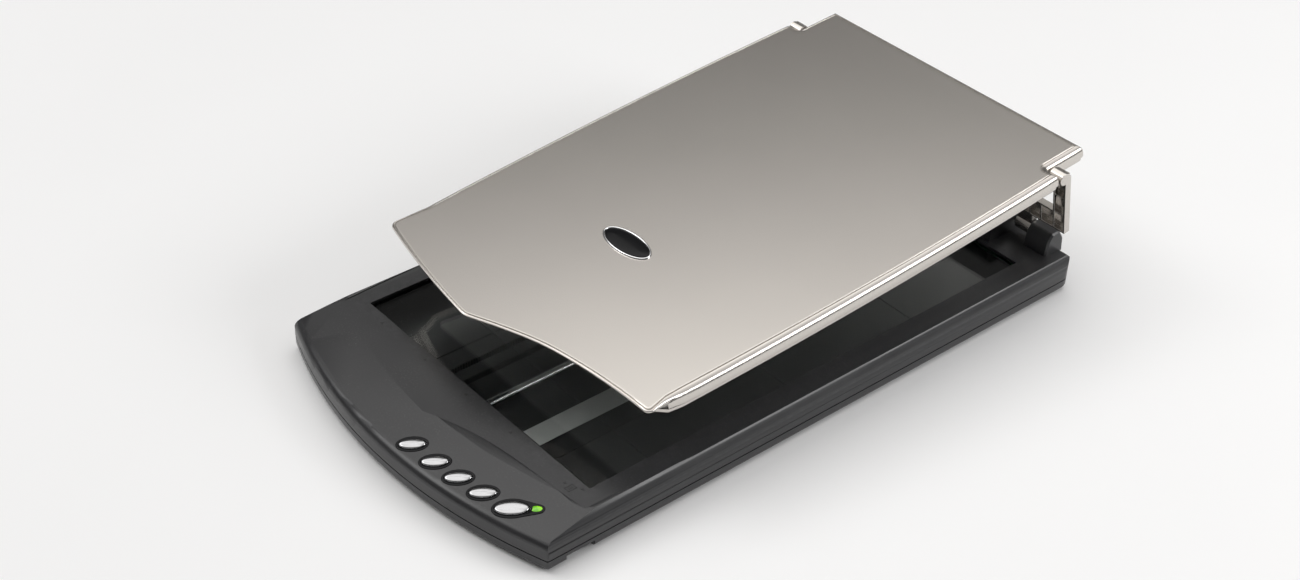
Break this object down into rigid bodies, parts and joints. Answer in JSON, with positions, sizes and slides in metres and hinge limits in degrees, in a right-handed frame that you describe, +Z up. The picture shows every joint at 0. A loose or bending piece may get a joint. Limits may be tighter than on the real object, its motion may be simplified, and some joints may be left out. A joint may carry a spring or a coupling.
{
  "type": "flatbed book scanner",
  "caption": "Flatbed scanner with a curved control panel, silver ovals for buttons and a silver lid raised above the glass on two swing arms.",
  "frame": {"origin": "centre of the overall footprint on the plane that the feet stand on", "axes": "+X to the right as seen from the control panel, +Y from the control panel to the hinge, +Z up"},
  "size_m": [0.258, 0.4699, 0.0999],
  "materials": {
    "charcoal_plastic": "fine satin texture",
    "silver_plastic": "champagne silver paint, satin",
    "silver_button": "bright silver paint",
    "gloss_black": "gloss",
    "green_lens": "clear green light window",
    "clear_glass": "polished float glass",
    "clear_lens": "clear acrylic",
    "white_strip": "matte white",
    "white_mat": "matte white sheet",
    "grey_foam": "open-cell foam",
    "black_rubber": "soft matte",
    "black_plastic": "moulded",
    "natural_plastic": "natural acetal",
    "blue_plastic": "moulded",
    "green_board": "solder mask",
    "zinc_steel": "zinc plated",
    "polished_rod": "ground and polished",
    "bright_chrome": "mirror",
    "brass": "machined"
  },
  "bodies": {
    "base": {"lower_housing": "charcoal_plastic", "upper_housing": "charcoal_plastic", "platen_glass": "clear_glass", "calibration_strip": "white_strip", "rubber_feet": "black_rubber", "housing_screws": "zinc_steel", "guide_rod": "polished_rod", "rod_holders": "black_plastic", "drive_motor": "zinc_steel", "motor_bracket": "zinc_steel", "motor_screws": "zinc_steel", "pulley_axles": "polished_rod", "idler_bracket": "zinc_steel", "tension_spring": "zinc_steel", "drive_belt": "black_rubber", "main_board": "green_board", "board_chips": "black_plastic", "board_posts": "charcoal_plastic", "board_screws": "zinc_steel", "usb_socket": "zinc_steel", "power_socket": "black_plastic", "button_board": "green_board", "button_board_posts": "charcoal_plastic", "tact_switches": "black_plastic", "button_surrounds": "gloss_black", "led_lens": "green_lens", "flat_cable": "white_strip", "home_sensor": "black_plastic"},
    "carriage": {"scan_carriage": "black_plastic", "sensor_bar": "black_plastic", "lens_array": "clear_lens", "light_guide": "clear_lens", "bar_springs": "zinc_steel", "rail_bushes": "natural_plastic", "glide_pads": "natural_plastic", "belt_clip": "black_plastic"},
    "drive_wheel": {"drive_pulley": "natural_plastic", "reduction_gear": "natural_plastic"},
    "motor_rotor": {"motor_pinion": "brass"},
    "idler_wheel": {"idler_pulley": "natural_plastic"},
    "lock": {"lock_slider": "blue_plastic"},
    "hinge": {"hinge_shafts": "polished_rod"},
    "arms": {"hinge_arm_left": "silver_plastic", "hinge_arm_right": "silver_plastic", "lid_pins": "polished_rod"},
    "lid": {"lid_shell": "silver_plastic", "lid_tray": "charcoal_plastic", "lid_foam": "grey_foam", "lid_mat": "white_mat", "lid_badge": "gloss_black", "lid_badge_rim": "bright_chrome", "lid_screws": "zinc_steel"},
    "copy_key": {"copy_button": "silver_button"},
    "text_key": {"text_button": "silver_button"},
    "mail_key": {"mail_button": "silver_button"},
    "custom_key": {"custom_button": "silver_button"},
    "pdf_key": {"pdf_button": "silver_button"}
  },
  "joints": [
    {"name": "lid_open", "type": "hinge", "parent": "base", "child": "hinge", "pos_m": [0, 0.21688, 0.0345], "axis": [-1, 0, 0], "range_deg": [0, 75]},
    {"name": "arm_lift", "type": "hinge", "parent": "hinge", "child": "arms", "pos_m": [0, 0.21688, 0.0345], "axis": [-1, 0, 0], "range_deg": [-79.5, 0]},
    {"name": "lid_level", "type": "hinge", "parent": "arms", "child": "lid", "pos_m": [0, 0.20377, 0.09156], "axis": [-1, 0, 0], "range_deg": [0, 84.1]},
    {"name": "carriage_scan", "type": "slide", "parent": "base", "child": "carriage", "axis": [0, 1, 0], "range_m": [0, 0.36]},
    {"name": "drive_wheel_spin", "type": "hinge", "parent": "base", "child": "drive_wheel", "pos_m": [-0.03, -0.20412, 0.0105], "axis": [0, 0, 1], "range_deg": [-3124.53, 1]},
    {"name": "motor_spin", "type": "hinge", "parent": "base", "child": "motor_rotor", "pos_m": [-0.05, -0.20412, 0.0178], "axis": [0, 0, 1], "range_deg": [-2, 17702]},
    {"name": "idler_spin", "type": "hinge", "parent": "base", "child": "idler_wheel", "pos_m": [-0.03, 0.20888, 0.0105], "axis": [0, 0, 1], "range_deg": [-3124.53, 1]},
    {"name": "lock_slide", "type": "slide", "parent": "base", "child": "lock", "axis": [-1, 0, 0], "range_m": [0, 0.004]},
    {"name": "copy_press", "type": "slide", "parent": "base", "child": "copy_key", "axis": [-0.0058, 0.1373, -0.9905], "range_m": [0, 0.0006], "stiffness_N_per_m": 900},
    {"name": "text_press", "type": "slide", "parent": "base", "child": "text_key", "axis": [-0.0136, 0.1367, -0.9905], "range_m": [0, 0.0006], "stiffness_N_per_m": 900},
    {"name": "mail_press", "type": "slide", "parent": "base", "child": "mail_key", "axis": [-0.0209, 0.1358, -0.9905], "range_m": [0, 0.0006], "stiffness_N_per_m": 900},
    {"name": "custom_press", "type": "slide", "parent": "base", "child": "custom_key", "axis": [-0.0281, 0.1345, -0.9905], "range_m": [0, 0.0006], "stiffness_N_per_m": 900},
    {"name": "pdf_press", "type": "slide", "parent": "base", "child": "pdf_key", "axis": [-0.0358, 0.1327, -0.9905], "range_m": [0, 0.0006], "stiffness_N_per_m": 900}
  ],
  "couplings": [
    {"joint": "lid_level", "follows": "arm_lift", "ratio": -1.0566},
    {"joint": "drive_wheel_spin", "follows": "carriage_scan", "rad_per_m": -151.43},
    {"joint": "motor_spin", "follows": "carriage_scan", "rad_per_m": 858.12},
    {"joint": "idler_spin", "follows": "carriage_scan", "rad_per_m": -151.43}
  ]
}
